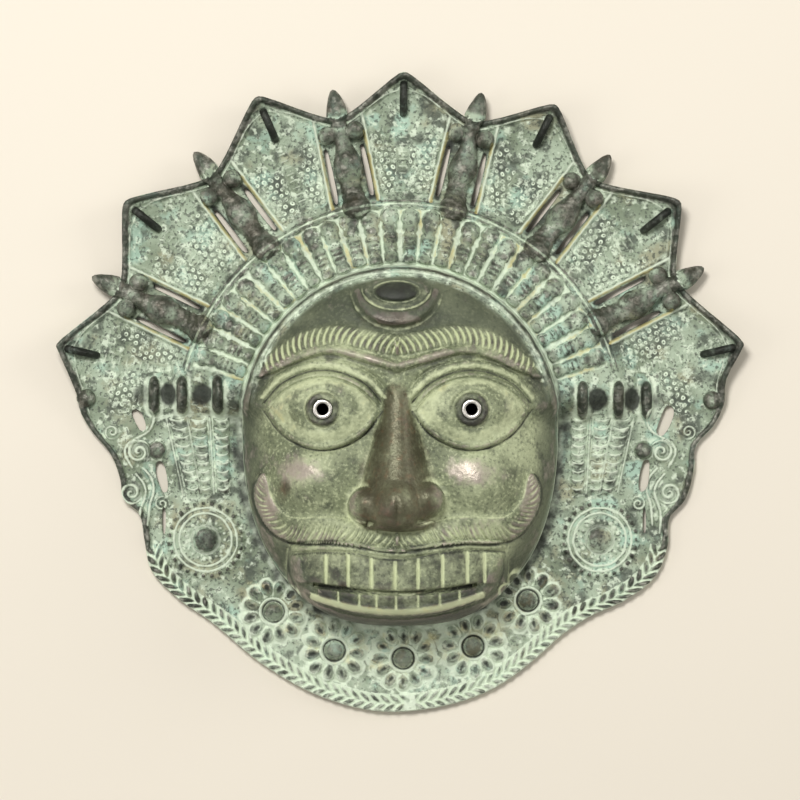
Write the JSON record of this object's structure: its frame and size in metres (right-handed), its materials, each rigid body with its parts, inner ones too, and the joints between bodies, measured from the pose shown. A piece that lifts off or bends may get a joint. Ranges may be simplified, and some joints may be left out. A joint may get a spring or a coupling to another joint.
{
  "type": "cast bronze deity mask",
  "caption": "Hollow cast bronze face mask with third eye, bared teeth and a moustache, framed by a halo of lotus petals and a bib of rosettes, lying on its flat back.",
  "frame": {"origin": "The origin is on the plane the mask lies on, under the middle of its outline. The mask lies on its back with its face up.", "axes": "+Z comes out of the face, +Y goes up the face to the petals, and +X goes to the right of someone looking at the face."},
  "size_m": [0.344, 0.3204, 0.0806],
  "materials": {
    "patinated_bronze": "cast, verdigris patina, worn dark on the high spots",
    "white_metal": "polished rings set into the eyes"
  },
  "bodies": {
    "root": {"mask": "patinated_bronze", "left_pupil_ring": "white_metal", "right_pupil_ring": "white_metal"}
  },
  "joints": []
}
